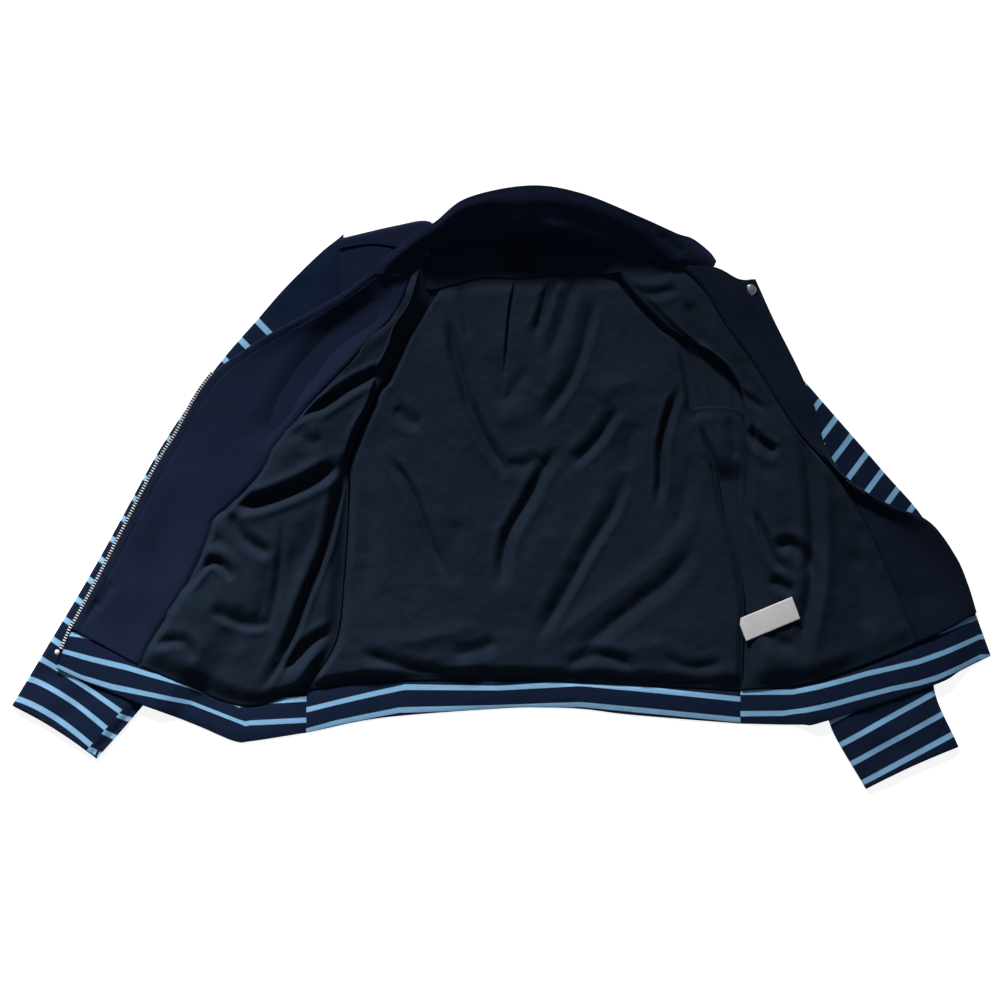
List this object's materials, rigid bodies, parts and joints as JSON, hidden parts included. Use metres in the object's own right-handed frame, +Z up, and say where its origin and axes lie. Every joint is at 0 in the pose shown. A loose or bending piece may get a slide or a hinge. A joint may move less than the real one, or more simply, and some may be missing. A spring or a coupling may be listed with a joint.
{
  "type": "zip-front jacket, opened out flat",
  "caption": "Short zip-front jacket with a fold-over collar and striped knit sleeves and hem, laid on its back with both fronts open",
  "frame": {"origin": "on the surface it lies on, under the middle of the whole garment's box", "axes": "+X across the opened garment towards the viewer's right (the wearer's left front), +Y from hem to collar, +Z up off the surface"},
  "size_m": [1.066, 0.6521, 0.0469],
  "materials": {
    "navy_ponte": "matt double-knit jersey, dark navy",
    "slate_lining": "thin woven lining, dark blue-grey, soft sheen in the folds",
    "striped_knit": "dark navy knit with narrow light blue cross stripes",
    "zip_tape": "dark navy woven tape",
    "snap_metal": "matt silver",
    "white_satin": "white satin ribbon, bare"
  },
  "bodies": {
    "root": {"back_shell": "navy_ponte", "front_shell_left": "navy_ponte", "front_shell_right": "navy_ponte", "facing_left": "navy_ponte", "facing_right": "navy_ponte", "neck_facing": "navy_ponte", "collar_upper": "navy_ponte", "collar_under": "navy_ponte", "lining_back": "slate_lining", "lining_front_left": "slate_lining", "lining_front_right": "slate_lining", "sleeve_lining_right": "slate_lining", "sleeve_left": "striped_knit", "sleeve_right": "striped_knit", "hem_band_back": "striped_knit", "hem_band_left": "striped_knit", "hem_band_right": "striped_knit", "zip_tape_left": "zip_tape", "zip_tape_right": "zip_tape", "neck_label": "zip_tape", "size_tab": "zip_tape", "snap_cap": "snap_metal", "zip_pin_left": "snap_metal", "zip_slider_right": "snap_metal", "care_label": "white_satin"}
  },
  "joints": []
}
